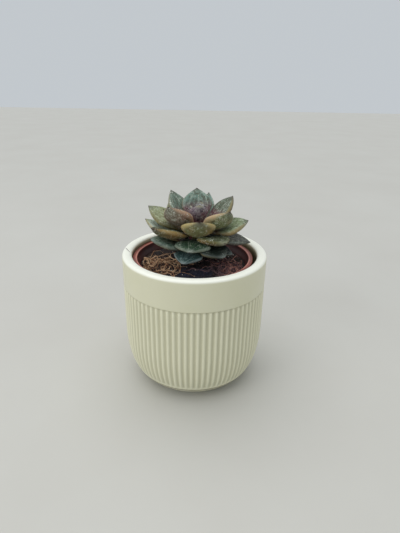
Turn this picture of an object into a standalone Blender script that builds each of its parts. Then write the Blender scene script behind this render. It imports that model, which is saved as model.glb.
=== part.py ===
# Potted echeveria: a rosette of thick pointed leaves on a short stem, rooted in
# a thin nursery pot that stands inside a glazed cover pot with a fluted body.
# Units are metres, +Z is up, and the origin is the centre of the cover pot's foot.
import math

import bmesh
import bpy
from mathutils import Matrix, Vector, noise
from mathutils.bvhtree import BVHTree

MM = 0.001
FIT_GAP = 0.3 * MM  # clearance between two pieces that touch on the real plant
MERGE = 0.02 * MM

# Cover pot: outer size, wall, and the fluted zone below the plain band.
POT_RADIUS = 40.0 * MM
POT_HEIGHT = 76.0 * MM
LIP_HALF_WIDTH = 2.7 * MM
LIP_ROUND_HEIGHT = 1.9 * MM
LIP_STEP = 30  # degrees between two points of the rounded lip
BAND_BOTTOM = 59.6 * MM
BELLY_TOP = 33.0 * MM  # height where the straight wall starts to curve inwards
BELLY_SHARES = (0.72, 0.50, 0.32)  # heights of the belly's rings, as shares of its top
BELLY_BOTTOM = 1.9 * MM
BELLY_FOOT_RADIUS = 26.4 * MM
BELLY_EXPONENT = 2.3
FLUTE_COUNT = 80
FLUTE_DEPTH = 0.65 * MM
FLUTE_RUN_OUT = 0.7 * MM  # height over which a flute starts below the band
FLUTE_BOTTOM = 4.6 * MM
FLUTE_TURN = math.radians(-1.4)  # brings the valleys to their places round the pot
FOOT_RADIUS = 25.8 * MM
FOOT_HEIGHT = 1.5 * MM
FOOT_RING_WIDTH = 3.6 * MM
FOOT_RECESS = 0.9 * MM
FLOOR_HEIGHT = 6.6 * MM
INNER_FLOOR_RADIUS = 24.8 * MM
INNER_CURVE_TOP = 27.0 * MM
INNER_CURVE_SHARES = (0.04, 0.15, 0.36, 0.66)  # heights of its rings between floor and top
INNER_EXPONENT = 2.0

# Nursery pot: a thin tapered liner with an out-turned lip and drain holes.
LINER_SHIFT = Vector((-0.9 * MM, 0.0, 0.0))  # it leans against the cover pot's left side
LINER_WALL = 0.9 * MM
LINER_TOP = 73.0 * MM
LINER_LIP_RADIUS = 33.4 * MM
LINER_LIP_EDGE = 1.9 * MM  # height of the lip's outer edge
LINER_LIP_ROUND = 0.5 * MM
LINER_COLLAR_RADIUS = 31.9 * MM  # the wider collar just below the lip
LINER_COLLAR_DROP = 4.0 * MM
LINER_BOTTOM_RADIUS = 22.6 * MM
LINER_MIDDLE = 30.0 * MM
LINER_SIDES = 48
DRAIN_HOLES = 6
DRAIN_HOLE_RADIUS = 2.6 * MM
DRAIN_HOLE_SIDES = 12
DRAIN_CIRCLE_RADIUS = 15.0 * MM
DRAIN_CUTTER_LENGTH = 6 * LINER_WALL

# Growing medium: fills the liner, with a lumpy top and a plain hole for the stem.
SOIL_EDGE = 67.6 * MM
SOIL_CROWN = 71.2 * MM
SOIL_RINGS = 8
SOIL_CROWN_EXPONENT = 1.5
SOIL_LUMP = 1.5 * MM
SOIL_LUMP_SCALES = ((160.0, 1.0), (420.0, 0.6))  # noise frequency and share of the lump

# Plant: the stem's axis stands a little beside the pot's axis.
AXIS = Vector((1.3 * MM, 0.0, 0.0))
STEM_RADIUS = 3.6 * MM
STEM_TIP_RADIUS = 2.2 * MM
STEM_ROOT_RADIUS = 2.0 * MM
STEM_BOTTOM = 44.0 * MM
STEM_ROOT_TOP = 60.0 * MM
STEM_TAPER_START = 76.0 * MM
STEM_TOP = 90.6 * MM
STEM_SIDES = 20

# One leaf, before it is scaled to its own length.
LEAF_WIDTH = 17.0 * MM
LEAF_THICKNESS = 4.4 * MM  # of the highest leaf
LEAF_THINNING = 0.3  # how much thinner the lowest leaf is, as a share
LEAF_BASE_WIDTH = 3.4 * MM
LEAF_BASE_THICKNESS = 1.2 * MM
LEAF_WIDEST = 0.55  # share of the length at which the leaf is widest
LEAF_THICKEST = 0.66
LEAF_FLARE = 1.7  # how late the width grows from the base
LEAF_SWELL = 1.9  # and how late the thickness does
LEAF_WIDTH_FALL = (2.1, 1.1)  # exponents of the narrowing to the tip
LEAF_DEPTH_FALL = (2.2, 0.9)  # and of the thinning
LEAF_KEEL = 0.74  # share of the thickness that lies below the midrib
LEAF_RINGS = (0.0, 0.13, 0.27, 0.41, 0.55, 0.68, 0.80, 0.90, 0.965)  # shares of the length
LEAF_TOP_STEPS = 4  # steps from margin to margin over the upper face
LEAF_KEEL_STEPS = 6  # and under the lower face
SEAT_ALLOWANCE = 0.2 * MM

# Leaves from the top of the stem to its foot: direction round the stem (degrees,
# 270 faces the front), reach of the tip from the stem's axis and height of the tip
# above the ground (both in millimetres), width as a share of LEAF_WIDTH, curl along
# the length (degrees, negative droops), rise of the margins as a share of the half
# width (negative for an arched leaf), and roll about the leaf's own length (degrees).
HIGHEST_LEAF = 90.0 * MM
LEAF_SPACING = 0.45 * MM
LEAVES = (
    (92, 12.6, 108.2, 1.00, 26, 0.20, 0),
    (222, 20.0, 104.4, 1.00, 30, 0.20, 18),
    (137, 20.5, 106.6, 0.76, 26, 0.16, 0),
    (20, 20.5, 105.4, 0.95, 26, 0.16, 0),
    (320, 21.5, 102.4, 1.02, 30, 0.22, -18),
    (272, 23.5, 99.9, 1.05, 40, 0.32, 0),
    (172, 27.0, 100.2, 1.02, 24, 0.14, -8),
    (353, 27.5, 94.8, 1.04, 22, 0.14, 8),
    (215, 28.5, 94.3, 1.02, 22, 0.14, 8),
    (303, 25.7, 88.2, 1.10, -16, 0.06, -8),
    (259, 21.0, 82.7, 1.14, -36, -0.16, 0),
    (75, 26.0, 102.8, 0.66, 26, 0.14, 0),
    (128, 26.5, 98.8, 0.90, 22, 0.14, 0),
    (47, 26.0, 97.0, 0.95, 22, 0.14, 0),
    (186, 28.8, 93.0, 0.90, 16, 0.12, 0),
    (3, 29.5, 82.0, 1.00, -18, 0.10, 0),
    (98, 26.0, 93.0, 0.95, 16, 0.12, 0),
    (196, 26.5, 85.0, 1.02, -14, -0.04, 0),
    (62, 27.0, 89.5, 0.95, 12, 0.12, 0),
    (306, 24.0, 79.6, 0.95, -20, -0.06, 0),
    (145, 28.0, 88.5, 0.95, 8, 0.12, 0),
    (30, 27.0, 83.0, 0.90, 1, 0.12, 0),
    (341, 20.8, 76.4, 0.88, -18, -0.04, 0),
    (163, 25.5, 81.0, 0.90, -4, 0.10, 0),
    (245, 21.0, 75.8, 0.95, -18, -0.06, 0),
)
# A leaf that would cross one above it is slid down the stem, bent down at its tip
# or turned, in these steps, and the least of such moves that clears it is taken.
SLIDE_STEP = 0.3 * MM
SLIDES = range(22)
BEND_COST = 3.0
BENDS = range(12)
TURN_COST = 0.6
TURNS = (0, -4, 4, -8, 8, -12, 12)

# Heart: the small upright leaves round the growing tip, grown into one bud.
HEART_LEAVES = 7
HEART_LENGTH = 12.2 * MM
HEART_WIDTH = 11.0 * MM
HEART_BASE_WIDTH = 7.0 * MM
HEART_THICKNESS = 1.7 * MM
HEART_SHRINK = 0.40  # how much smaller the innermost leaf is than the outermost
HEART_RISE = (60, 76)  # degrees, outermost and innermost
HEART_CURL = 26
HEART_CUP = 0.5
HEART_RINGS = (0.0, 0.25, 0.50, 0.72, 0.90)
HEART_FIRST = 282  # direction of the first one, in degrees
HEART_INSET = 1.7 * MM
HEART_LIFT = 0.9 * MM
HEART_CORE_RADIUS = 3.4 * MM
HEART_CORE_HEIGHT = 7.5 * MM
HEART_SHOULDER = (0.8, 0.7)  # shares of the core's radius and height
HEART_CORE_SIDES = 12
GOLDEN_ANGLE = 137.5


def clear_scene():
    for obj in list(bpy.data.objects):
        bpy.data.objects.remove(obj)


def new_collection(name):
    collection = bpy.data.collections.new(name)
    bpy.context.scene.collection.children.link(collection)
    return collection


def material(name, colour, roughness):
    made = bpy.data.materials.new(name)
    made.use_nodes = True
    shader = made.node_tree.nodes["Principled BSDF"]
    shader.inputs["Base Color"].default_value = (*colour, 1.0)
    shader.inputs["Roughness"].default_value = roughness
    shader.inputs["Metallic"].default_value = 0.0
    return made


def add_object(name, mesh, collection, finish=None):
    obj = bpy.data.objects.new(name, mesh)
    collection.objects.link(obj)
    if finish:
        obj.data.materials.append(finish)
    return obj


def object_from_bmesh(name, shape, collection, finish=None):
    mesh = bpy.data.meshes.new(name)
    shape.to_mesh(mesh)
    shape.free()
    return add_object(name, mesh, collection, finish)


def turned(name, profile, sides, collection, finish):
    # Turns a profile of (radius, height) points about the Z axis. Two points in
    # a row that both lie on the axis are the ends of two separate runs.
    mesh = bpy.data.meshes.new(name)
    edges = [(i, i + 1) for i in range(len(profile) - 1) if max(profile[i][0], profile[i + 1][0]) > 0]
    mesh.from_pydata([(r, 0.0, z) for r, z in profile], edges, [])
    obj = add_object(name, mesh, collection, finish)
    screw = obj.modifiers.new("turn", "SCREW")
    screw.steps = sides
    screw.render_steps = sides
    screw.use_merge_vertices = True
    screw.merge_threshold = MERGE
    return obj


def apply_modifiers(obj):
    bpy.context.view_layer.update()
    graph = bpy.context.evaluated_depsgraph_get()
    mesh = bpy.data.meshes.new_from_object(obj.evaluated_get(graph))
    obj.modifiers.clear()
    obj.data = mesh


def shade(obj, degrees):
    obj.data.shade_smooth()
    obj.data.set_sharp_from_angle(angle=math.radians(degrees))


def swell(height, top, bottom, top_radius, bottom_radius, exponent):
    # Radius on a rounded belly that runs from its bottom out to an upright wall.
    drop = min(1.0, max(0.0, (top - height) / (top - bottom)))
    return bottom_radius + (top_radius - bottom_radius) * (1 - drop**exponent) ** (1 / exponent)


def pot_radius(height):
    return swell(height, BELLY_TOP, BELLY_BOTTOM, POT_RADIUS, BELLY_FOOT_RADIUS, BELLY_EXPONENT)


def pot_inner_radius(height):
    wall = POT_RADIUS - 2 * LIP_HALF_WIDTH
    return swell(height, INNER_CURVE_TOP, FLOOR_HEIGHT, wall, INNER_FLOOR_RADIUS, INNER_EXPONENT)


def cover_pot_profile():
    # From the top of the lip down the outside, across the foot, then up inside.
    lip_centre = POT_RADIUS - LIP_HALF_WIDTH
    lip_base = POT_HEIGHT - LIP_ROUND_HEIGHT
    lip = []
    for degrees in range(0, 181, LIP_STEP):
        angle = math.radians(degrees)
        across = LIP_HALF_WIDTH * math.cos(angle)
        lip.append((lip_centre + across, lip_base + LIP_ROUND_HEIGHT * math.sin(angle)))
    crown = len(lip) // 2
    heights = [BAND_BOTTOM, BAND_BOTTOM - FLUTE_RUN_OUT, BELLY_TOP]
    heights += [BELLY_TOP * share for share in BELLY_SHARES]
    heights += [FLUTE_BOTTOM + 2 * FLUTE_RUN_OUT, FLUTE_BOTTOM]
    heights += [0.5 * (FLUTE_BOTTOM + BELLY_BOTTOM), BELLY_BOTTOM]
    outside = [(pot_radius(z), z) for z in heights]
    recess_radius = FOOT_RADIUS - FOOT_RING_WIDTH - FOOT_RECESS
    foot = [
        (FOOT_RADIUS, FOOT_HEIGHT),
        (FOOT_RADIUS, 0.0),
        (FOOT_RADIUS - FOOT_RING_WIDTH, 0.0),
        (recess_radius, FOOT_RECESS),
        (0.0, FOOT_RECESS),
    ]
    curve = INNER_CURVE_TOP - FLOOR_HEIGHT
    inner_heights = [FLOOR_HEIGHT] + [FLOOR_HEIGHT + curve * share for share in INNER_CURVE_SHARES]
    inner_heights.append(INNER_CURVE_TOP)
    inside = [(0.0, FLOOR_HEIGHT)] + [(pot_inner_radius(z), z) for z in inner_heights]
    return lip[crown::-1] + outside + foot + inside + lip[:crown - 1:-1]


def cover_pot(collection, finish):
    obj = turned("cover_pot", cover_pot_profile(), FLUTE_COUNT, collection, finish)
    apply_modifiers(obj)
    shape = bmesh.new()
    shape.from_mesh(obj.data)
    bmesh.ops.remove_doubles(shape, verts=shape.verts, dist=MERGE)
    # Each ring edge of the fluted zone is halved: the turned points stay as
    # ridges, and the new points between them are pressed in as valleys.
    lowest = FLUTE_BOTTOM - MERGE
    highest = BAND_BOTTOM - MERGE
    ring_edges = []
    for edge in shape.edges:
        a, b = (vert.co for vert in edge.verts)
        is_level = abs(a.z - b.z) < MERGE
        is_outside = a.xy.length > pot_radius(a.z) - LIP_HALF_WIDTH
        if is_level and is_outside and lowest < a.z < highest:
            ring_edges.append(edge)
    halved = bmesh.ops.subdivide_edges(shape, edges=ring_edges, cuts=1)
    for vert in halved["geom_inner"]:
        if isinstance(vert, bmesh.types.BMVert) and vert.co.z > FLUTE_BOTTOM + MERGE:
            radius = vert.co.xy.length
            vert.co.xy *= (radius - FLUTE_DEPTH) / radius
    bmesh.ops.triangulate(shape, faces=[face for face in shape.faces if len(face.verts) > 4])
    bmesh.ops.rotate(shape, verts=shape.verts, matrix=Matrix.Rotation(FLUTE_TURN, 3, "Z"))
    shape.to_mesh(obj.data)
    shape.free()
    shade(obj, 30)


def liner_radius(height):
    # Outer radius of the liner's tapered body.
    bottom = FLOOR_HEIGHT + FIT_GAP
    top_radius = LINER_COLLAR_RADIUS - LINER_WALL
    share = (height - bottom) / (LINER_TOP - LINER_COLLAR_DROP - bottom)
    return LINER_BOTTOM_RADIUS + (top_radius - LINER_BOTTOM_RADIUS) * share


def nursery_pot(collection, cutters, finish):
    bottom = FLOOR_HEIGHT + FIT_GAP
    shoulder = LINER_TOP - LINER_COLLAR_DROP
    collar_inside = LINER_COLLAR_RADIUS - LINER_WALL
    outside = [
        (LINER_LIP_RADIUS - LINER_LIP_ROUND, LINER_TOP),
        (LINER_LIP_RADIUS, LINER_TOP - LINER_LIP_ROUND),
        (LINER_LIP_RADIUS, LINER_TOP - LINER_LIP_EDGE + LINER_LIP_ROUND),
        (LINER_LIP_RADIUS - LINER_LIP_ROUND, LINER_TOP - LINER_LIP_EDGE),
        (LINER_COLLAR_RADIUS, LINER_TOP - LINER_LIP_EDGE),
        (LINER_COLLAR_RADIUS, shoulder),
        (liner_radius(shoulder), shoulder),
        (liner_radius(LINER_MIDDLE), LINER_MIDDLE),
        (LINER_BOTTOM_RADIUS, bottom + LINER_WALL),
        (LINER_BOTTOM_RADIUS - LINER_WALL, bottom),
        (0.0, bottom),
    ]
    inside = [
        (0.0, bottom + LINER_WALL),
        (LINER_BOTTOM_RADIUS - LINER_WALL, bottom + LINER_WALL),
        (liner_radius(LINER_MIDDLE) - LINER_WALL, LINER_MIDDLE),
        (liner_radius(shoulder) - LINER_WALL, shoulder),
        (collar_inside, shoulder + LINER_WALL),
        (collar_inside, LINER_TOP - LINER_LIP_ROUND),
        (collar_inside + LINER_LIP_ROUND, LINER_TOP),
    ]
    obj = turned("nursery_pot", outside + inside + outside[:1], LINER_SIDES, collection, finish)
    obj.location = LINER_SHIFT
    holes = bmesh.new()
    for i in range(DRAIN_HOLES):
        turn = Matrix.Rotation(2 * math.pi * i / DRAIN_HOLES, 4, "Z")
        bmesh.ops.create_cone(
            holes,
            cap_ends=True,
            segments=DRAIN_HOLE_SIDES,
            radius1=DRAIN_HOLE_RADIUS,
            radius2=DRAIN_HOLE_RADIUS,
            depth=DRAIN_CUTTER_LENGTH,
            matrix=turn @ Matrix.Translation((DRAIN_CIRCLE_RADIUS, 0.0, bottom)),
        )
    cutter = object_from_bmesh("drain_holes", holes, cutters)
    cutter.location = LINER_SHIFT
    cutter.hide_render = True
    cutter.display_type = "WIRE"
    cut = obj.modifiers.new("drain", "BOOLEAN")
    cut.operation = "DIFFERENCE"
    cut.object = cutter


def soil(collection, finish):
    bottom = FLOOR_HEIGHT + FIT_GAP + LINER_WALL + FIT_GAP
    edge = liner_radius(SOIL_EDGE) - LINER_WALL - FIT_GAP
    hole = STEM_RADIUS + FIT_GAP
    # The top runs down from the hole to the edge, and the wall to the bottom.
    top = []
    for i in range(SOIL_RINGS + 1):
        share = i / SOIL_RINGS
        fall = (SOIL_CROWN - SOIL_EDGE) * share**SOIL_CROWN_EXPONENT
        top.append((hole + (edge - hole) * share, SOIL_CROWN - fall))
    wall = [
        (liner_radius(LINER_MIDDLE) - LINER_WALL - FIT_GAP, LINER_MIDDLE),
        (LINER_BOTTOM_RADIUS - LINER_WALL - FIT_GAP, bottom),
        (0.0, bottom),
    ]
    stem_hole = [(0.0, STEM_BOTTOM - FIT_GAP), (hole, STEM_BOTTOM - FIT_GAP)]
    obj = turned("soil", stem_hole + top + wall, LINER_SIDES, collection, finish)
    apply_modifiers(obj)
    for vert in obj.data.vertices:
        radius = vert.co.xy.length
        share = min(1.0, max(0.0, (radius - hole) / (edge - hole)))
        on_top = vert.co.z > SOIL_EDGE - MERGE
        if on_top and MERGE < share < 1 - MERGE:
            for frequency, strength in SOIL_LUMP_SCALES:
                vert.co.z += SOIL_LUMP * strength * noise.noise(vert.co * frequency)
        # The hole lies round the stem's axis, the edge round the liner's.
        if on_top or (radius < hole + MERGE and vert.co.z > LINER_MIDDLE):
            vert.co += (AXIS - LINER_SHIFT) * (1 - share)
    obj.location = LINER_SHIFT
    shade(obj, 60)
    return obj


def stem_radius(height):
    share = max(0.0, (height - STEM_TAPER_START) / (STEM_TOP - STEM_TAPER_START))
    return STEM_RADIUS + (STEM_TIP_RADIUS - STEM_RADIUS) * share


def stem(collection, finish):
    profile = [
        (0.0, STEM_TOP),
        (STEM_TIP_RADIUS, STEM_TOP),
        (STEM_RADIUS, STEM_TAPER_START),
        (STEM_RADIUS, STEM_ROOT_TOP),
        (STEM_ROOT_RADIUS, STEM_BOTTOM),
        (0.0, STEM_BOTTOM),
    ]
    obj = turned("stem", profile, STEM_SIDES, collection, finish)
    obj.location = AXIS
    apply_modifiers(obj)
    shade(obj, 40)
    return obj


def leaf_half_width(share, width, base_width):
    base = base_width / width
    if share < LEAF_WIDEST:
        growth = math.sin(0.5 * math.pi * share / LEAF_WIDEST) ** LEAF_FLARE
        return 0.5 * width * (base + (1 - base) * growth)
    run = (share - LEAF_WIDEST) / (1 - LEAF_WIDEST)
    inner, outer = LEAF_WIDTH_FALL
    return 0.5 * width * (1 - run**inner) ** outer


def leaf_depth(share, thickness):
    base = LEAF_BASE_THICKNESS / LEAF_THICKNESS
    if share < LEAF_THICKEST:
        growth = math.sin(0.5 * math.pi * share / LEAF_THICKEST) ** LEAF_SWELL
        return thickness * (base + (1 - base) * growth)
    run = (share - LEAF_THICKEST) / (1 - LEAF_THICKEST)
    inner, outer = LEAF_DEPTH_FALL
    return thickness * (1 - run**inner) ** outer


def section_angle(step):
    # Even steps from margin to margin over the upper face, then under the keel.
    if step <= LEAF_TOP_STEPS:
        return math.pi * step / LEAF_TOP_STEPS
    return math.pi * (1 + (step - LEAF_TOP_STEPS) / LEAF_KEEL_STEPS)


def leaf_shape(length, widths, thickness, rise, curl, cup, roll, ring_shares, margin=0.0):
    # A ball's rings become the leaf's cross-sections, and its poles the middle of
    # the base and the tip. The midrib leaves the origin in the XZ plane at the
    # rise and turns upwards by the curl. A margin thickens the leaf all round.
    # The two widths are the greatest one and the one at the base.
    rings = len(ring_shares) + 1
    sides = LEAF_TOP_STEPS + LEAF_KEEL_STEPS
    shape = bmesh.new()
    bmesh.ops.create_uvsphere(shape, u_segments=sides, v_segments=rings, radius=1.0)
    for vert in shape.verts:
        polar = math.acos(max(-1.0, min(1.0, -vert.co.z)))
        ring = round(rings * polar / math.pi)
        step = round(sides * math.atan2(vert.co.y, vert.co.x) / (2 * math.pi)) % sides
        if ring == 0:
            share, half, depth, skin = -margin / length, 0.0, 0.0, 0.0
        elif ring == rings:
            share, half, depth, skin = 1.0 + margin / length, 0.0, 0.0, 0.0
        else:
            share = ring_shares[ring - 1]
            half = leaf_half_width(share, *widths) + margin
            depth = leaf_depth(share, thickness)
            skin = margin
        around = section_angle(step)
        face_share = 1 - LEAF_KEEL if math.sin(around) > 0 else LEAF_KEEL
        side = half * math.cos(around)
        lift = (depth * face_share + skin) * math.sin(around) + cup * half * math.cos(around) ** 2
        # The roll grows from the base, which stays level, to the widest place.
        twist = roll * min(1.0, max(0.0, share) / LEAF_WIDEST)
        across = side * math.cos(twist) - lift * math.sin(twist)
        above = side * math.sin(twist) + lift * math.cos(twist)
        bend = rise + curl * share
        forward = length * (math.sin(bend) - math.sin(rise)) / curl
        height = length * (math.cos(rise) - math.cos(bend)) / curl
        vert.co = (forward - above * math.sin(bend), across, height + above * math.cos(bend))
    return shape


def placed_leaf(row, thickness, base_height, tip_drop, turned_by, margin=0.0):
    # The shape of one row of LEAVES, and the matrix that sets it on the stem.
    direction, reach, tip_height, width_share, curl, cup, roll = row
    turn = math.radians(direction + turned_by)
    curl = math.radians(curl)
    climb = tip_height * MM - tip_drop - base_height
    slope = math.sin(math.atan2(climb, reach * MM - STEM_RADIUS) - 0.5 * curl)
    # The lower corner of a rising base, or the upper one of a falling one, is
    # what comes nearest to the stem.
    corner = LEAF_BASE_THICKNESS * max(LEAF_KEEL * slope, (LEAF_KEEL - 1) * slope)
    seat = stem_radius(base_height) + FIT_GAP + SEAT_ALLOWANCE + corner
    run = reach * MM - seat
    rise = math.atan2(climb, run) - 0.5 * curl
    length = math.hypot(run, climb) * 0.5 * curl / math.sin(0.5 * curl)
    widths = (LEAF_WIDTH * width_share, LEAF_BASE_WIDTH)
    roll = math.radians(roll)
    shape = leaf_shape(length, widths, thickness, rise, curl, cup, roll, LEAF_RINGS, margin)
    foot = AXIS + Vector((seat * math.cos(turn), seat * math.sin(turn), base_height))
    return shape, Matrix.Translation(foot) @ Matrix.Rotation(turn, 4, "Z")


def placed_tree(shape, place):
    shape.transform(place)
    tree = BVHTree.FromBMesh(shape)
    shape.free()
    return tree


def clear_moves(row, thickness, wished_base, neighbours):
    # The base height, tip drop and turn of the least move that clears the leaf.
    moves = [(slide, bend, turn) for slide in SLIDES for bend in BENDS for turn in TURNS]
    moves.sort(key=lambda move: move[0] + BEND_COST * move[1] + TURN_COST * abs(move[2]))
    for slide, bend, turn in moves:
        place = (wished_base - slide * SLIDE_STEP, bend * SLIDE_STEP, turn)
        tree = placed_tree(*placed_leaf(row, thickness, *place, margin=FIT_GAP))
        if not any(tree.overlap(other) for other in neighbours):
            return place
    raise RuntimeError(f"no clear place for the leaf at {row[0]} degrees")


def leaves(neighbours, collection, finishes):
    placed = []
    for piece in neighbours:
        shape = bmesh.new()
        shape.from_mesh(piece.data)
        placed.append(placed_tree(shape, Matrix.Translation(piece.location)))
    for index, row in enumerate(LEAVES):
        thickness = LEAF_THICKNESS * (1 - LEAF_THINNING * index / (len(LEAVES) - 1))
        place = clear_moves(row, thickness, HIGHEST_LEAF - index * LEAF_SPACING, placed)
        shape, matrix = placed_leaf(row, thickness, *place)
        placed.append(placed_tree(shape.copy(), matrix))
        finish = finishes[index * len(finishes) // len(LEAVES)]
        obj = object_from_bmesh(f"leaf_{len(LEAVES) - index:02d}", shape, collection, finish)
        obj.matrix_world = matrix
        shade(obj, 50)


def heart(collection, finish):
    base = STEM_TOP + FIT_GAP
    bud_leaves = new_collection("bud_leaves")
    for i in range(HEART_LEAVES):
        inward = i / (HEART_LEAVES - 1)
        size = 1 - HEART_SHRINK * inward
        rise = math.radians(HEART_RISE[0] + (HEART_RISE[1] - HEART_RISE[0]) * inward)
        curl = math.radians(HEART_CURL)
        widths = (HEART_WIDTH * size, HEART_BASE_WIDTH * size)
        shape = leaf_shape(
            HEART_LENGTH * size, widths, HEART_THICKNESS, rise, curl, HEART_CUP, 0.0, HEART_RINGS
        )
        piece = object_from_bmesh(f"bud_leaf_{i}", shape, bud_leaves)
        turn = math.radians(HEART_FIRST + i * GOLDEN_ANGLE)
        inset = HEART_INSET * size
        piece.location = AXIS + Vector((inset * math.cos(turn), inset * math.sin(turn), base + HEART_LIFT))
        piece.rotation_euler.z = turn
    profile = [
        (0.0, base + HEART_CORE_HEIGHT),
        (HEART_SHOULDER[0] * HEART_CORE_RADIUS, base + HEART_SHOULDER[1] * HEART_CORE_HEIGHT),
        (HEART_CORE_RADIUS, base),
        (0.0, base),
    ]
    obj = turned("heart", profile, HEART_CORE_SIDES, collection, finish)
    obj.location = AXIS
    join = obj.modifiers.new("grow", "BOOLEAN")
    join.operation = "UNION"
    join.operand_type = "COLLECTION"
    join.collection = bud_leaves
    apply_modifiers(obj)
    for piece in list(bud_leaves.objects):
        bpy.data.objects.remove(piece)
    bpy.data.collections.remove(bud_leaves)
    shade(obj, 50)
    return obj


def main():
    clear_scene()
    plant = new_collection("potted_echeveria")
    cutters = new_collection("cutters")
    cover_pot(plant, material("cream_glaze", (0.62, 0.61, 0.45), 0.28))
    nursery_pot(plant, cutters, material("terracotta_plastic", (0.36, 0.13, 0.08), 0.45))
    neighbours = [
        soil(plant, material("dark_peat", (0.035, 0.024, 0.018), 0.95)),
        stem(plant, material("stem_skin", (0.20, 0.19, 0.10), 0.70)),
        heart(plant, material("young_leaf_skin", (0.24, 0.12, 0.12), 0.45)),
    ]
    finishes = (
        material("upper_leaf_skin", (0.17, 0.22, 0.15), 0.45),
        material("middle_leaf_skin", (0.22, 0.22, 0.09), 0.45),
        material("lower_leaf_skin", (0.06, 0.11, 0.09), 0.50),
    )
    leaves(neighbours, plant, finishes)


main()
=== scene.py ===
import math
import random

import bmesh
import bpy
from mathutils import Matrix, Vector, noise
from mathutils.bvhtree import BVHTree


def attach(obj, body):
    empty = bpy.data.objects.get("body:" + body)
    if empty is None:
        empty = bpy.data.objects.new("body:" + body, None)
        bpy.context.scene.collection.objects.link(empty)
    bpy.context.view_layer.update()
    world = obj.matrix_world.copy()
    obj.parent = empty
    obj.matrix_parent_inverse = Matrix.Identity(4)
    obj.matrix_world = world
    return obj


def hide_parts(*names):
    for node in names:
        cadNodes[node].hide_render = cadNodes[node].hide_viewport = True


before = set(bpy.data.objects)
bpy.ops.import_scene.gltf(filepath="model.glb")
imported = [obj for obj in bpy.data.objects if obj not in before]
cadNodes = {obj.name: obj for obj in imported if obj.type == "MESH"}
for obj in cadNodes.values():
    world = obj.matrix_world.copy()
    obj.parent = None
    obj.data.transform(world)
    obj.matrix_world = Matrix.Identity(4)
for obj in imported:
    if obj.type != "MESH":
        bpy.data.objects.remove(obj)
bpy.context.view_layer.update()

# Potted echeveria. Every piece is built round the CAD nodes of the frame, in metres.
mm = 0.001
stemAxis = Vector((1.3 * mm, 0, 0))  # the plant stands a little beside the pot's axis
linerAxis = Vector((-0.9 * mm, 0, 0))  # the nursery pot leans to the left
print("frame loaded:", len(cadNodes), "nodes")


def tone(red, green, blue):
    # a colour given in 0 to 255, made linear for the shader
    linear = []
    for share in (red / 255, green / 255, blue / 255):
        linear.append(share / 12.92 if share <= 0.04045 else ((share + 0.055) / 1.055) ** 2.4)
    return (*linear, 1)


class Wire:
    # one output in a finish; sums written with it become Math nodes
    def __init__(self, finish, socket):
        self.finish = finish
        self.socket = socket

    def math(self, operation, first, second):
        return self.finish.node("ShaderNodeMath", {"operation": operation}, {0: first, 1: second})

    def __add__(self, other):
        return self.math("ADD", self, other)

    def __sub__(self, other):
        return self.math("SUBTRACT", self, other)

    def __rsub__(self, other):
        return self.math("SUBTRACT", other, self)

    def __mul__(self, other):
        return self.math("MULTIPLY", self, other)

    __radd__ = __add__
    __rmul__ = __mul__

    def size(self):
        return self.math("ABSOLUTE", self, 0)


class Finish:
    # a material being mixed; node() adds any node and hands back one of its outputs
    def __init__(self, name):
        self.material = bpy.data.materials.new(name)
        self.material.use_nodes = True
        self.tree = self.material.node_tree
        self.shader = self.tree.nodes["Principled BSDF"]

    def node(self, kind, settings=None, values=None, out=0):
        made = self.tree.nodes.new(kind)
        for key, value in (settings or {}).items():
            setattr(made, key, value)
        for key, value in (values or {}).items():
            self.put(made.inputs[key], value)
        return Wire(self, made.outputs[out])

    def put(self, socket, value):
        if isinstance(value, Wire):
            self.tree.links.new(value.socket, socket)
        else:
            socket.default_value = value

    def set(self, **values):
        for key, value in values.items():
            self.put(self.shader.inputs[key.replace("_", " ")], value)

    def place(self):
        return self.node("ShaderNodeTexCoord", out="Object")

    def axis(self, where, letter):
        return self.node("ShaderNodeSeparateXYZ", None, {0: where}, letter)

    def stretch(self, where, across, along, up):
        return self.node("ShaderNodeMapping", None, {"Vector": where, "Scale": (across, along, up)})

    def attribute(self, name):
        return self.node("ShaderNodeAttribute", {"attribute_name": name}, out="Fac")

    def noise(self, where, scale, detail=3.0, roughness=0.55):
        values = {"Vector": where, "Scale": scale, "Detail": detail, "Roughness": roughness}
        return self.node("ShaderNodeTexNoise", None, values, "Fac")

    def dots(self, where, scale, small, large):
        # specks with uneven edges: 1 in the middle of a cell, 0 between cells
        values = {"Vector": where, "Scale": scale}
        away = self.node("ShaderNodeTexVoronoi", None, values, "Distance")
        return self.step(away + 0.45 * (self.noise(where, scale * 3.1, 2) - 0.5), large, small)

    def step(self, value, low, high):
        # 0 below low, 1 above high, smooth between; low above high turns it round
        values = {"Value": value, "From Min": low, "From Max": high}
        return self.node("ShaderNodeMapRange", {"interpolation_type": "SMOOTHSTEP"}, values)

    def blend(self, first, second, factor):
        values = {0: factor, 6: first, 7: second}
        return self.node("ShaderNodeMix", {"data_type": "RGBA"}, values, 2)

    def relief(self, height, depth, strength):
        values = {"Height": height, "Distance": depth, "Strength": strength}
        self.set(Normal=self.node("ShaderNodeBump", None, values))


def addPiece(name, mesh, material, standsFor=()):
    # puts a finished mesh in the scene as a piece that rides on the pot
    mesh.name = name
    mesh.materials.clear()
    mesh.materials.append(material)
    piece = bpy.data.objects.new(name, mesh)
    bpy.context.scene.collection.objects.link(piece)
    mesh.shade_smooth()
    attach(piece, "root")
    for node in standsFor:
        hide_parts(node)


def meshOf(shape):
    mesh = bpy.data.meshes.new("shape")
    shape.to_mesh(mesh)
    shape.free()
    return mesh


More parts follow.
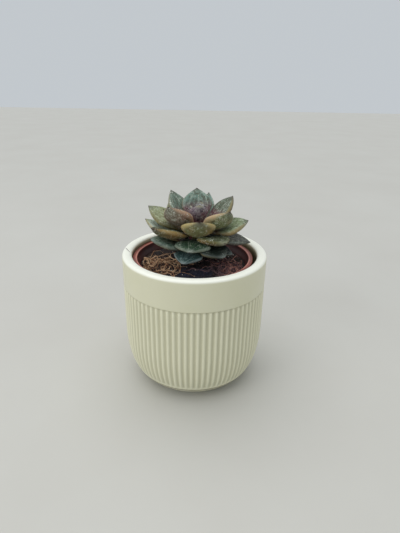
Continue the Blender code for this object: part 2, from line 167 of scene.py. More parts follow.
def bakedMesh(mesh, levels):
    # a smooth mesh that still passes through the points of the cage it is made from
    cage = bpy.data.objects.new("cage", mesh)
    bpy.context.scene.collection.objects.link(cage)
    smooth = cage.modifiers.new("smooth", "SUBSURF")
    smooth.levels = levels
    smooth.render_levels = levels
    wanted = [vert.co.copy() for vert in mesh.vertices]
    graph = bpy.context.evaluated_depsgraph_get()
    for share in (0.8, 0.6):
        mesh.update()
        bpy.context.view_layer.update()
        rounded = cage.evaluated_get(graph).data
        offsets = [goal - rounded.vertices[i].co for i, goal in enumerate(wanted)]
        for vert, offset in zip(mesh.vertices, offsets):
            vert.co += offset * share
    mesh.update()
    bpy.context.view_layer.update()
    baked = bpy.data.meshes.new_from_object(cage.evaluated_get(graph))
    bpy.data.objects.remove(cage)
    return baked


def spun(profile, steps):
    # turns a chain of (radius, height) points round the Z axis
    shape = bmesh.new()
    points = [shape.verts.new((radius, 0, height)) for radius, height in profile]
    lines = [shape.edges.new(pair) for pair in zip(points, points[1:])]
    bmesh.ops.spin(
        shape, geom=points + lines, cent=(0, 0, 0), axis=(0, 0, 1), angle=2 * math.pi,
        steps=steps, use_merge=True, use_duplicate=False,
    )
    bmesh.ops.remove_doubles(shape, verts=shape.verts, dist=0.002 * mm)
    bmesh.ops.recalc_face_normals(shape, faces=shape.faces)
    return shape


def between(first, last, share):
    return first + (last - first) * share


def evenly(first, last, count):
    return [first + (last - first) * i / (count - 1) for i in range(count)]


# the cover pot: glazed ceramic with a plain band over upright ribs
coverPot = {
    "radius": 39.98 * mm, "height": 76.0 * mm,
    "lipHalf": 2.7 * mm, "lipRound": 1.9 * mm, "lipSquare": 0.80,  # below 1 the lip is squarer
    "bandBottom": 59.1 * mm, "bandGroove": 0.42 * mm, "bandGrooveHeight": 1.2 * mm,
    "grooveRings": tuple(z * mm for z in (-0.75, -0.55, -0.3, -0.1, 0.1, 0.4)),
    "bandRings": (62 * mm, 73 * mm, 5), "straightFrom": 37 * mm,
    "bellyTop": 33.0 * mm, "bellyBottom": 1.9 * mm, "bellyFoot": 26.4 * mm, "bellyPower": 2.3,
    "ribs": 80, "ribSteps": 6, "ribTurn": math.radians(-1.4), "ribDepth": 0.92 * mm,
    "ribRound": 0.9, "ribBottom": 8.2 * mm, "ribFade": 1.5 * mm, "ribTopFade": 0.5 * mm,
    "footRadius": 25.8 * mm, "footRing": 3.6 * mm, "footRecess": 0.9 * mm,
    "footEase": 0.3 * mm, "footHeight": 1.5 * mm,
    "footLine": 5.2 * mm, "footLineDepth": 0.18 * mm, "footLineHalf": 0.5 * mm,
    "floor": 6.6 * mm, "floorRadius": 24.8 * mm, "innerCurve": 27.0 * mm, "innerPower": 2,
    "wallRings": (70 * mm, 60 * mm, 45 * mm), "slack": 0.1 * mm,
    # heights over which the lip top is painted highlight-white, painted shade on the inside wall fades,
    # and bare clay ends
    "thinLip": (74.3 * mm, 75.5 * mm), "innerShadeHeights": (77.3 * mm, 73.8 * mm),
    "bareClay": (0.9 * mm, 1.4 * mm),
    "glaze": tone(223, 220, 192), "cloudy": tone(218, 216, 182), "pooledGlazeAndShade": tone(203, 200, 171),
    "thin": tone(235, 232, 204), "lipHighlight": tone(250, 250, 238), "speck": tone(176, 166, 128),
    "innerWallShade": tone(118, 106, 78), "bisque": tone(214, 205, 186),
}


def swell(height, top, bottom, topRadius, bottomRadius, power):
    drop = min(1, max(0, (top - height) / (top - bottom)))
    return bottomRadius + (topRadius - bottomRadius) * (1 - drop**power) ** (1 / power)


def outerRadius(height, p):
    return swell(height, p["bellyTop"], p["bellyBottom"], p["radius"], p["bellyFoot"], p["bellyPower"])


def coverPotProfile(p):
    # from the middle of the underside, out over the foot, up, over the lip and down inside
    radius, wall = p["radius"], p["radius"] - 2 * p["lipHalf"]
    foot, ringInside, ease = p["footRadius"], p["footRadius"] - p["footRing"], p["footEase"]
    points = [(r, p["footRecess"]) for r in evenly(0, ringInside - p["footRecess"], 6)]
    points += [(ringInside, 0), (ringInside + ease, 0), (foot - ease, 0)]
    points += [(foot, ease), (foot, p["footHeight"])]
    belly = evenly(p["bellyBottom"], p["ribBottom"], 15)
    belly += evenly(p["ribBottom"] + 0.7 * mm, p["bellyTop"], 26)
    belly += evenly(p["straightFrom"], p["bandBottom"] - p["bandGrooveHeight"], 8)
    points += [(outerRadius(z, p), z) for z in belly]
    points += [(radius, p["bandBottom"] + z) for z in p["grooveRings"]]
    points += [(radius, z) for z in evenly(*p["bandRings"])]
    for degrees in evenly(0, 180, 25):
        across, rise = math.cos(math.radians(degrees)), max(0, math.sin(math.radians(degrees)))
        points.append((
            radius - p["lipHalf"] + math.copysign(p["lipHalf"] * abs(across) ** p["lipSquare"], across),
            p["height"] - p["lipRound"] + p["lipRound"] * rise ** p["lipSquare"],
        ))
    points += [(wall, z) for z in p["wallRings"]]
    for z in evenly(p["innerCurve"], p["floor"], 9):
        points.append((swell(z, p["innerCurve"], p["floor"], wall, p["floorRadius"], p["innerPower"]), z))
    points.append((0, p["floor"]))
    return points


def ribShape(angle, p):
    # 0 on the top of a rib and 1 in the groove between two ribs
    phase = math.pi * (angle - p["ribTurn"]) * p["ribs"] / (2 * math.pi)
    return (math.sin(phase) ** 2) ** p["ribRound"]


def buildCoverPot(p):
    shape = spun(coverPotProfile(p), p["ribs"] * p["ribSteps"])
    groove = shape.verts.layers.float.new("groove")
    inside = shape.verts.layers.float.new("inside")
    for vert in shape.verts:
        radius, height = vert.co.xy.length, vert.co.z
        enclosed = radius < p["radius"] - 1.8 * p["lipHalf"] and height > p["floor"] - p["slack"]
        vert[inside] = float(enclosed and height < p["height"] - p["lipRound"] + p["slack"])
        if radius < p["footRadius"] or radius < outerRadius(height, p) - mm:
            continue  # the foot's underside or the inside wall
        if height < p["bellyBottom"] or height > p["bandBottom"] - 2 * p["slack"]:
            continue
        below = p["bandBottom"] - height
        grown = min(1, max(0, height - p["ribBottom"]) / p["ribFade"]) * min(1, below / p["ribTopFade"])
        rib = ribShape(math.atan2(vert.co.y, vert.co.x), p)
        depth = p["ribDepth"] * rib * grown * radius / p["radius"]
        depth += p["bandGroove"] * max(0, 1 - (below / p["bandGrooveHeight"]) ** 2)
        depth += p["footLineDepth"] * max(0, 1 - ((height - p["footLine"]) / p["footLineHalf"]) ** 2)
        vert[groove] = min(1, depth / p["ribDepth"])
        vert.co.xy *= (radius - depth) / radius
    return meshOf(shape)


def glazeFinish(p):
    f = Finish("creamGlaze")
    where = f.place()
    groove = f.attribute("groove")
    cloud = f.noise(where, 38, 4)
    grain = f.noise(where, 900, 2)
    height = f.axis(where, "Z")
    lip = f.step(height, *p["thinLip"])
    ribbed = f.step(height, p["ribBottom"] - 0.5 * mm, p["ribBottom"] + mm)
    ribbed = ribbed * f.step(height, p["bandBottom"], p["bandBottom"] - mm)
    # rib crests are painted lighter and grooves darker: thin and pooled glaze, with a painted highlight
    # on the crests and painted shade in the grooves
    crest = f.blend(p["glaze"], p["thin"], ribbed * f.step(groove, 0.55, 0.10))
    base = f.blend(crest, p["pooledGlazeAndShade"], f.step(groove + 0.3 * cloud, 0.30, 1.15))
    base = f.blend(base, p["cloudy"], f.step(cloud, 0.35, 0.75) * (0.55 - 0.4 * ribbed))
    # painted highlight: the top of the lip is painted near white
    base = f.blend(base, p["lipHighlight"], lip * 0.95)
    specks = f.dots(where, 300, 0.04, 0.07) * f.step(f.noise(where, 70, 1), 0.60, 0.70)
    base = f.blend(base, p["speck"], specks * 0.25)
    # painted shade: the inside wall below the lip is darkened, in cloudy patches
    innerShade = f.attribute("inside") * f.step(height + 3 * mm * cloud, *p["innerShadeHeights"])
    base = f.blend(base, p["innerWallShade"], innerShade * (0.70 + 0.4 * cloud))
    foot = 1 - f.step(height, *p["bareClay"])
    base = f.blend(base, p["bisque"], foot)
    f.set(Base_Color=base, Roughness=0.24 + 0.10 * cloud + 0.45 * foot + 0.05 * grain, IOR=1.5)
    f.relief(cloud * 0.6 + grain * 0.15, 0.25 * mm, 0.35)
    return f.material


potMesh = buildCoverPot(coverPot)
addPiece("glazedCoverPot", potMesh, glazeFinish(coverPot), ["cover_pot"])
print("cover pot made")

# the nursery pot: a thin plastic liner, of which the lip shows
nurseryPot = {
    "lipRadius": 33.4 * mm, "top": 73.0 * mm, "lipEdge": 1.9 * mm, "lipRound": 0.45 * mm,
    "lipPoints": (0.95 * mm, 0.75 * mm), "brightWidth": 0.8 * mm, "brightDrop": 0.3 * mm,
    "wall": 0.9 * mm, "innerRound": 0.5 * mm,
    "collar": 31.9 * mm, "collarDrop": 4.0 * mm, "collarEase": 0.15 * mm,
    "bottom": 6.9 * mm, "bottomRadius": 22.6 * mm, "steps": 144,
    "rim": (71.8 * mm, 72.9 * mm), "farSide": (28.5 * mm, 30.0 * mm),
    "plastic": tone(146, 70, 55), "lipHighlight": tone(214, 140, 120), "stainAndShade": tone(62, 28, 28),
    "dust": tone(48, 34, 28),
}


def buildNurseryPot(p):
    # from the middle of the bottom, up the outside, round the lip and down inside
    wall, top, low, lowRadius = p["wall"], p["top"], p["bottom"], p["bottomRadius"]
    shoulder, body = top - p["collarDrop"], p["collar"] - wall
    underLip, ease = top - p["lipEdge"], p["collarEase"]
    points = [(0, low), (lowRadius - wall, low), (lowRadius, low + wall)]
    points += [(between(lowRadius, body, share), between(low, shoulder, share))
               for share in (0.3, 0.6, 0.9, 0.985, 1)]
    points += [(p["collar"], shoulder + ease), (p["collar"], underLip - ease)]
    points += [(p["collar"] + ease, underLip), (p["lipRadius"] - p["lipRound"], underLip)]
    straight = 0.5 * p["lipEdge"] - p["lipRound"]
    for degrees in (-90, -60, -30, 0, 30, 60, 90):
        angle = math.radians(degrees)
        middle = top - 0.5 * p["lipEdge"] + (math.copysign(straight, degrees) if degrees else 0)
        points.append((p["lipRadius"] - p["lipRound"] + p["lipRound"] * math.cos(angle),
                       middle + p["lipRound"] * math.sin(angle)))
    points += [(body + offset, top) for offset in p["lipPoints"]]
    for degrees in (90, 110, 135, 160, 180):
        angle = math.radians(degrees)
        points.append((body + p["innerRound"] + p["innerRound"] * math.cos(angle),
                       top - p["innerRound"] + p["innerRound"] * math.sin(angle)))
    points += [(body, shoulder + wall), (body - wall, shoulder)]
    points += [(between(lowRadius, body, share) - wall, between(low, shoulder, share))
               for share in (0.9, 0.6, 0.3)]
    points += [(lowRadius - wall, low + wall), (0, low + wall)]
    shape = spun(points, p["steps"])
    edge = shape.verts.layers.float.new("edge")
    for vert in shape.verts:  # a painted highlight runs along the lip's inner edge
        near = vert.co.xy.length < body + p["brightWidth"]
        vert[edge] = float(near and vert.co.z > top - p["brightDrop"])
    bmesh.ops.translate(shape, verts=shape.verts, vec=linerAxis)
    return meshOf(shape)


def nurseryPotFinish(p):
    f = Finish("terracottaPlastic")
    where = f.place()
    cloud = f.noise(where, 60, 4)
    turned = f.noise(f.stretch(where, 40, 40, 2600), 1, 2)  # faint rings from the mould
    height = f.axis(where, "Z")
    far = f.step(f.axis(where, "Y"), *p["farSide"])
    rim = f.step(height, *p["rim"])
    # random stain patches; below the rim the plastic is painted darker, painted shade inside the liner
    base = f.blend(p["stainAndShade"], p["plastic"], f.step(cloud, 0.3, 0.7) * 0.5 + rim * 0.5)
    # painted highlight on the lip's inner edge, brighter in patches
    base = f.blend(base, p["lipHighlight"], f.attribute("edge") * (0.45 + 0.5 * f.step(cloud, 0.4, 0.62)))
    base = f.blend(base, p["stainAndShade"], far * 0.85)  # painted shade on the far side of the lip
    dust = f.step(f.noise(where, 900, 3), 0.55, 0.7) * (1 - rim)
    base = f.blend(base, p["dust"], dust * 0.6)
    f.set(Base_Color=base, Roughness=0.30 + 0.2 * cloud + 0.25 * dust)
    f.relief(turned * 0.4 + cloud * 0.5 + dust * 0.4, 0.2 * mm, 0.5)
    return f.material


linerMesh = buildNurseryPot(nurseryPot)
addPiece("nurseryPot", linerMesh, nurseryPotFinish(nurseryPot), ["nursery_pot"])
print("nursery pot made")

# the growing medium: dark peat, highest round the stem
growingMedium = {
    "edge": 67.6 * mm, "crown": 71.2 * mm, "crownPower": 1.5, "edgeRadius": 29.55 * mm,
    "hole": 3.9 * mm, "holeBottom": 43.7 * mm, "rings": 64, "steps": 210,
    "waist": 25.2 * mm, "waistHeight": 30 * mm, "bottomRadius": 21.4 * mm, "bottom": 8.1 * mm,
    "lumps": ((160, 1.5), (420, 0.9), (1100, 0.55), (2600, 0.3)),  # frequency and height in mm
    "castFrom": 90 * mm,
    "black": tone(22, 19, 22), "brown": tone(62, 43, 35), "red": tone(94, 54, 44),
    "blue": tone(17, 23, 44), "grain": tone(168, 160, 150),
}


def crownHeight(share, p):
    return p["crown"] - (p["crown"] - p["edge"]) * share ** p["crownPower"]


def soilHeight(x, y, share, p):
    # height of the medium's top at a share of the way from the stem's hole to the pot
    height = crownHeight(share, p)
    if not 0.02 < share < 0.98:
        return height
    for index, (frequency, strength) in enumerate(p["lumps"]):
        level = height if index < 2 else 0.07 * index  # the fine lumps read flat slices of noise
        height += strength * mm * noise.noise(Vector((x, y, level)) * frequency)
    return height


def buildGrowingMedium(p):
    reach = p["edgeRadius"] - p["hole"]
    points = [(0, p["holeBottom"]), (p["hole"], p["holeBottom"])]
    points += [(p["hole"] + reach * share, crownHeight(share, p)) for share in evenly(0, 1, p["rings"])]
    points += [(p["waist"], p["waistHeight"]), (p["bottomRadius"], p["bottom"]), (0, p["bottom"])]
    shape = spun(points, p["steps"])
    for vert in shape.verts:
        if vert.co.z > p["edge"] - 0.01 * mm:
            share = min(1, max(0, (vert.co.xy.length - p["hole"]) / reach))
            vert.co.z = soilHeight(vert.co.x, vert.co.y, share, p)
            vert.co += (stemAxis - linerAxis) * (1 - share)
        elif vert.co.xy.length < p["hole"] + 0.1 * mm and vert.co.z > p["waistHeight"]:
            vert.co += stemAxis - linerAxis
        vert.co += linerAxis
    return meshOf(shape)


def growingMediumFinish(p, name):
    f = Finish(name)
    where = f.place()
    clump = f.noise(where, 260, 5, 0.7)
    crumb = f.noise(where, 1500, 4, 0.7)
    front = f.axis(where, "Y")
    base = f.blend(p["black"], p["brown"], f.step(clump + 0.5 * crumb, 0.62, 1.0))
    rusty = f.step(f.noise(where, 330, 3), 0.56, 0.7) * f.step(crumb, 0.4, 0.6)
    base = f.blend(base, p["red"], rusty * 0.6)
    side = f.axis(where, "X")
    frontShade = f.step(front + 6 * mm * clump, -6 * mm, -14 * mm)  # painted shade, cool and dark, in the front middle
    frontShade = frontShade * f.step((side + mm).size() + 8 * mm * clump, 19 * mm, 11 * mm)
    base = f.blend(base, p["blue"], frontShade * (0.66 + 0.3 * crumb))
    base = f.blend(base, p["grain"], f.dots(where, 1400, 0.07, 0.12) * 0.5)
    f.set(Base_Color=base, Roughness=0.82 + 0.15 * crumb)
    f.relief(clump * 0.8 + crumb * 0.6, 0.9 * mm, 0.9)
    return f.material


soilMesh = buildGrowingMedium(growingMedium)
soilTree = BVHTree.FromPolygons(
    [vert.co for vert in soilMesh.vertices], [face.vertices for face in soilMesh.polygons])
addPiece("pottingMix", soilMesh, growingMediumFinish(growingMedium, "darkPeat"), ["soil"])


def groundAt(x, y):
    # height of the growing medium under a point
    hit = soilTree.ray_cast(Vector((x, y, growingMedium["castFrom"])), Vector((0, 0, -1)))[0]
    return hit.z if hit else growingMedium["edge"]


crumbs = {"count": 620, "smallest": 0.22 * mm, "largest": 0.85 * mm, "reach": 28.8 * mm, "seed": 11}
# the crumbs share the soil's finish, including its painted shade in the front middle
crumbTones = {
    **growingMedium, "black": tone(38, 30, 28), "brown": tone(88, 60, 44), "red": tone(120, 70, 50),
    "blue": tone(38, 44, 68),
}


def buildCrumbs(p):
    # loose bits of peat and bark, partly sunk in the top
    draw = random.Random(p["seed"])
    shape = bmesh.new()
    for _ in range(p["count"]):
        angle = draw.uniform(0, 2 * math.pi)
        radius = p["reach"] * math.sqrt(draw.uniform(0.04, 1))
        x, y = linerAxis.x + radius * math.cos(angle), radius * math.sin(angle)
        size = draw.uniform(p["smallest"], p["largest"]) * draw.uniform(0.5, 1)
        turn = Matrix.Rotation(draw.uniform(0, 6), 4, "Z")
        turn = turn @ Matrix.Rotation(draw.uniform(-1, 1), 4, "X")
        form = (size * draw.uniform(0.7, 1.9), size, size * draw.uniform(0.4, 0.8), 1)
        lie = Matrix.Translation((x, y, groundAt(x, y) + 0.2 * size)) @ turn @ Matrix.Diagonal(form)
        made = bmesh.ops.create_icosphere(shape, subdivisions=1, radius=1, matrix=lie)
        for vert in made["verts"]:
            vert.co += Vector([draw.uniform(-1, 1) for _ in range(3)]) * size * 0.25
    return meshOf(shape)


crumbMesh = buildCrumbs(crumbs)
addPiece("peatCrumbs", crumbMesh, growingMediumFinish(crumbTones, "crumbBrown"))

# the fibres: for each tangle its direction (degrees) and distance from the pot's axis, its
# spread, the number of fibres, their rise, length and thickness (mm), and light and dark tone
coir = {
    "points": 26, "reach": 29.3 * mm, "turnFrom": 0.90, "seed": 5, "lift": 0.08 * mm,
    "stemRoom": 6 * mm,
    "tangles": {
        "tanFibres": (202, 21.2, 8.8, 44, 4.0, (12, 30), (0.12, 0.25),
                      tone(246, 208, 166), tone(160, 108, 72)),
        "brownFibres": (202, 21.2, 9.8, 50, 1.8, (6, 18), (0.08, 0.17),
                        tone(122, 80, 58), tone(48, 32, 28)),
        "redFibres": (328, 22.0, 8.5, 76, 2.1, (8, 22), (0.10, 0.22),
                      tone(138, 104, 106), tone(58, 42, 50)),
        "paleStrands": (338, 22.0, 7.5, 30, 2.6, (12, 24), (0.12, 0.22),
                        tone(222, 164, 146), tone(156, 96, 86)),
        "scatteredFibres": (270, 0.0, 26.0, 90, 1.2, (5, 14), (0.07, 0.14),
                            tone(78, 66, 64), tone(28, 26, 32)),
    },
}


def fibrePath(draw, x, y, length, rise, p):
    # a fibre wanders over the ground, lifting off it in one or two loops
    heading, bend = draw.uniform(0, 2 * math.pi), draw.uniform(-1, 1)
    wave, phase, drift = draw.uniform(1.0, 2.6), draw.uniform(0, math.pi), 0
    path = []
    for i in range(p["points"]):
        share = i / (p["points"] - 1)
        away = Vector((x - linerAxis.x, y, 0))
        nearWall = max(0, away.length / p["reach"] - p["turnFrom"]) / (1 - p["turnFrom"])
        inward = math.atan2(-away.y, -away.x)  # near the pot's wall a fibre turns back in
        heading += 0.5 * min(1, nearWall) * math.remainder(inward - heading, 2 * math.pi)
        if away.length > p["reach"]:
            away.length = p["reach"]
            x, y = linerAxis.x + away.x, away.y
        loop = max(0, math.sin(wave * math.pi * share + phase)) * math.sin(math.pi * share) ** 0.5
        path.append(Vector((x, y, groundAt(x, y) + p["lift"] + rise * mm * loop)))
        drift = 0.8 * drift + draw.uniform(-0.16, 0.16)
        heading += bend * 0.22 + drift
        x += math.cos(heading) * length / p["points"]
        y += math.sin(heading) * length / p["points"]
    return path


def tubes(paths, radii):
    # thin round tubes along the paths, finer at their ends, as one mesh
    curve = bpy.data.curves.new("strands", "CURVE")
    curve.dimensions = "3D"
    curve.bevel_depth = 1
    curve.bevel_resolution = 0
    curve.use_fill_caps = True
    for path, radius in zip(paths, radii):
        line = curve.splines.new("POLY")
        line.points.add(len(path) - 1)
        for i, (point, place) in enumerate(zip(line.points, path)):
            point.co = (*place, 1)
            point.radius = radius * (1 - 0.6 * abs(2 * i / (len(path) - 1) - 1) ** 3)
    strands = bpy.data.objects.new("strands", curve)
    bpy.context.scene.collection.objects.link(strands)
    bpy.context.view_layer.update()
    graph = bpy.context.evaluated_depsgraph_get()
    mesh = bpy.data.meshes.new_from_object(strands.evaluated_get(graph))
    bpy.data.objects.remove(strands)
    return mesh


def fibreFinish(name, light, dark):
    f = Finish(name)
    where = f.place()
    patch = f.noise(where, 420, 3)
    fine = f.noise(where, 3500, 2)
    base = f.blend(dark, light, f.step(patch + 0.3 * fine, 0.45, 0.85))
    f.set(Base_Color=base, Roughness=0.6 + 0.2 * fine)
    f.relief(fine, 0.1 * mm, 0.5)
    return f.material


def buildFibres(tangle, p, draw):
    direction, distance, spread, count, rise, lengths, thickness = tangle
    angle = math.radians(direction)
    paths, radii = [], []
    for _ in range(count):
        away, turn = spread * mm * math.sqrt(draw.uniform(0, 1)), draw.uniform(0, 2 * math.pi)
        x = linerAxis.x + distance * mm * math.cos(angle) + away * math.cos(turn)
        y = distance * mm * math.sin(angle) + away * math.sin(turn)
        if (Vector((x, y, 0)) - stemAxis).length < p["stemRoom"]:
            continue
        length, ownRise = draw.uniform(*lengths) * mm, rise * draw.uniform(0.2, 1)
        paths.append(fibrePath(draw, x, y, length, ownRise, p))
        radii.append(draw.uniform(*thickness) * mm)
    return tubes(paths, radii)


grains = {
    **crumbs, "count": 90, "smallest": 0.16 * mm, "largest": 0.42 * mm, "seed": 29,
    "grey": tone(196, 184, 168), "white": tone(232, 228, 218),
}
grainFinish = Finish("paleGrain")
grainCloud = grainFinish.noise(grainFinish.place(), 900, 2)
grainFinish.set(Base_Color=grainFinish.blend(grains["grey"], grains["white"], grainCloud), Roughness=0.7)
addPiece("mineralGrains", buildCrumbs(grains), grainFinish.material)
for number, (fibreName, (*fibreTangle, light, dark)) in enumerate(coir["tangles"].items()):
    fibreMesh = buildFibres(fibreTangle, coir, random.Random(coir["seed"] + number))
    addPiece(fibreName, fibreMesh, fibreFinish(fibreName + "Skin", light, dark))

# one dark fibre that lies over the cover pot's rim, from one direction (degrees) to another
strayHair = {
    "from": 187, "to": 175, "inset": 4.6 * mm, "run": 4.0 * mm, "radius": 0.13 * mm,
    "above": 0.12 * mm, "light": tone(84, 70, 58), "dark": tone(40, 32, 28),
}


def buildStrayHair(p, pot):
    path = []
    for share in evenly(0, 1, 12):
        angle = math.radians(between(p["from"], p["to"], share))
        reach = pot["radius"] - (p["inset"] - p["run"] * share)
        over = (reach - pot["radius"] + pot["lipHalf"]) / pot["lipHalf"]
        height = pot["height"] - pot["lipRound"] * (1 - math.sqrt(max(0, 1 - over * over)))
        path.append(Vector((reach * math.cos(angle), reach * math.sin(angle), height + p["above"])))
    return tubes([path], [p["radius"]])


hairSkin = fibreFinish("strayHairSkin", strayHair["light"], strayHair["dark"])
addPiece("strayHair", buildStrayHair(strayHair, coverPot), hairSkin)
print("growing medium, crumbs and fibres made")

# the stem, seen only between the leaves and from behind
stem = {
    "radius": 3.6 * mm, "tipRadius": 2.2 * mm, "root": 2.0 * mm, "bottom": 44 * mm,
    "rootTop": 60 * mm, "taper": 76 * mm, "top": 90.6 * mm, "steps": 40,
    "scars": 0.16 * mm, "scarStep": 0.9 * mm, "scarsFrom": 66 * mm, "greenFrom": (77 * mm, 88 * mm),
    "green": tone(112, 108, 62), "brown": tone(92, 66, 44), "bark": tone(56, 40, 30),
}


def buildStem(p):
    points = [(0, p["bottom"]), (p["root"], p["bottom"])]
    points += [(between(p["root"], p["radius"], share), between(p["bottom"], p["rootTop"], share))
               for share in (0.5, 1)]
    points += [(p["radius"], z) for z in evenly(p["rootTop"] + 2 * mm, p["taper"], 24)]
    points += [(between(p["radius"], p["tipRadius"], share), between(p["taper"], p["top"], share))
               for share in evenly(0.06, 1, 24)]
    points.append((0, p["top"]))
    shape = spun(points, p["steps"])
    for vert in shape.verts:
        away = vert.co.xy.length
        if vert.co.z > p["scarsFrom"] and away > mm:  # leaf scars ring the stem
            wave = vert.co.z / p["scarStep"] * math.pi + 3 * math.atan2(vert.co.y, vert.co.x)
            vert.co.xy *= 1 - p["scars"] * (0.5 + 0.5 * math.sin(wave)) / away
        vert.co += stemAxis
    return meshOf(shape)


def stemFinish(p):
    f = Finish("stemSkin")
    where = f.place()
    band = f.noise(f.stretch(where, 200, 200, 900), 1, 4)
    fine = f.noise(where, 1800, 3)
    height = f.axis(where, "Z")
    base = f.blend(p["brown"], p["green"], f.step(height + 6 * mm * band, *p["greenFrom"]))
    base = f.blend(base, p["bark"], f.step(band, 0.5, 0.7) * 0.7)
    f.set(Base_Color=base, Roughness=0.6 + 0.2 * fine)
    f.relief(band + 0.3 * fine, 0.3 * mm, 0.8)
    return f.material


addPiece("scarredStem", buildStem(stem), stemFinish(stem), ["stem"])
print("stem made")

# the leaves: how a leaf is cut into rings and steps, and shaped beyond its CAD form
leafForm = {
    "levels": 3, "sides": 10, "topSteps": 4, "marginCrease": 0.15, "waver": 0.16 * mm,
    "plump": {1: 0.050, 3: 0.050, 5: -0.022, 9: -0.022},  # how far a step moves, by the width
    "pinchFrom": 0.55, "pinchRun": 0.3, "waverScale": 120, "seed": 27,
}
leafLook = {  # what a leaf has unless its tier or its own lines say otherwise
    "blade": tone(104, 126, 104), "belly": tone(140, 138, 84), "warm": tone(158, 128, 62),
    "root": tone(120, 72, 62), "rootLine": tone(164, 132, 138), "rootEnd": 0.42,
    "tip": tone(96, 92, 78), "point": tone(58, 40, 34),
    "pale": tone(196, 204, 186), "mottle": tone(84, 80, 58), "lines": 0.45, "seed": 0.0,
    "margin": tone(176, 160, 122), "marginShare": 0.65, "pinch": 0.0,
    "spot": tone(222, 226, 214), "speckle": 0.5,
}
tiers = {
    "centre": {
        "blade": tone(104, 132, 122), "root": tone(124, 74, 84), "margin": tone(150, 146, 124),
        "speckle": 0.8, "lines": 1.0, "rootEnd": 0.55},
    "middle": {"blade": tone(116, 128, 92), "root": tone(120, 84, 58)},
    "lower": {
        "blade": tone(66, 88, 74), "belly": tone(88, 88, 58), "warm": tone(120, 98, 46),
        "root": tone(44, 46, 38), "rootLine": tone(96, 104, 92), "margin": tone(136, 148, 138),
        "tip": tone(126, 136, 130), "mottle": tone(36, 48, 44),
        "speckle": 0.25, "lines": 0.7, "pinch": 0.12, "marginShare": 0.4},
}
leafTones = {  # the leaves that face the camera, from the highest to the lowest
    "leaf_25": ("centre", {
        "blade": tone(120, 146, 134), "root": tone(118, 84, 92), "rootEnd": 0.60}),
    "leaf_24": ("middle", {
        "blade": tone(110, 112, 92), "belly": tone(136, 120, 108), "warm": tone(130, 90, 76),
        "root": tone(114, 64, 52), "margin": tone(190, 150, 120), "rootEnd": 0.5}),
    "leaf_23": ("centre", {"blade": tone(108, 129, 116), "speckle": 1.0}),
    "leaf_22": ("centre", {
        "blade": tone(80, 92, 74), "belly": tone(136, 104, 78), "warm": tone(120, 84, 58),
        "margin": tone(170, 158, 116)}),
    "leaf_21": ("middle", {
        "blade": tone(104, 116, 84), "belly": tone(118, 124, 84), "warm": tone(160, 132, 94),
        "root": tone(134, 88, 64), "margin": tone(210, 178, 138), "speckle": 0.5}),
    "leaf_20": ("middle", {
        "blade": tone(98, 104, 70), "belly": tone(108, 108, 66), "warm": tone(136, 106, 54),
        "root": tone(98, 92, 52), "margin": tone(196, 174, 116), "speckle": 0.5}),
    "leaf_19": ("middle", {
        "blade": tone(156, 162, 122), "belly": tone(150, 146, 88), "tip": tone(104, 108, 90),
        "root": tone(128, 104, 66), "margin": tone(134, 132, 100)}),
    "leaf_18": ("middle", {
        "blade": tone(134, 150, 112), "belly": tone(148, 130, 70), "warm": tone(168, 128, 62),
        "tip": tone(74, 80, 70), "speckle": 0.9}),
    "leaf_17": ("middle", {
        "blade": tone(76, 84, 54), "belly": tone(94, 84, 44), "warm": tone(116, 84, 38),
        "root": tone(88, 84, 46), "margin": tone(170, 140, 84), "tip": tone(60, 42, 38)}),
    "leaf_16": ("lower", {
        "blade": tone(68, 74, 32), "belly": tone(104, 80, 28), "warm": tone(128, 86, 26),
        "margin": tone(128, 122, 72), "tip": tone(146, 148, 122), "speckle": 0.8}),
    "leaf_15": ("lower", {
        "blade": tone(48, 78, 52), "belly": tone(80, 82, 46), "margin": tone(150, 164, 146),
        "tip": tone(168, 176, 164), "lines": 0.8, "speckle": 0.4, "pinch": 0.36,
        "marginShare": 0.7}),
    "leaf_14": ("centre", {"blade": tone(110, 142, 132), "root": tone(84, 78, 60)}),
    "leaf_13": ("middle", {"blade": tone(124, 132, 104)}),
    "leaf_11": ("middle", {
        "blade": tone(194, 210, 196), "belly": tone(134, 142, 119), "tip": tone(150, 142, 100)}),
    "leaf_10": ("lower", {
        "blade": tone(86, 84, 74), "belly": tone(80, 54, 44), "warm": tone(72, 44, 40),
        "tip": tone(50, 46, 42)}),
    "leaf_08": ("lower", {"blade": tone(102, 124, 108), "belly": tone(94, 106, 86)}),
    "leaf_06": ("lower", {
        "blade": tone(26, 37, 31), "belly": tone(42, 48, 35), "pale": tone(100, 114, 100),
        "mottle": tone(22, 30, 28), "lines": 0.6, "marginShare": 0.25}),
    "leaf_03": ("lower", {
        "blade": tone(30, 40, 37), "belly": tone(40, 46, 37), "pale": tone(118, 128, 120),
        "mottle": tone(26, 34, 32), "lines": 0.7, "marginShare": 0.3, "pinch": 0.2}),
    "leaf_01": ("lower", {
        "blade": tone(50, 76, 73), "belly": tone(52, 66, 56), "pale": tone(146, 164, 162),
        "margin": tone(138, 156, 156), "tip": tone(150, 164, 162), "pinch": 0.26,
        "marginShare": 0.7}),
}


def ringLevels(shape):
    # numbers each point of a CAD leaf by its ring, counted from the tip
    poles = [vert for vert in shape.verts if len(vert.link_edges) >= leafForm["sides"] - 1]
    tip = max(poles, key=lambda vert: (vert.co.xy - stemAxis.xy).length)
    level, front = {tip: 0}, [tip]
    while front:
        reached = []
        for vert in front:
            for edge in vert.link_edges:
                other = edge.other_vert(vert)
                if other not in level:
                    level[other] = level[vert] + 1
                    reached.append(other)
        front = reached
    return tip, level


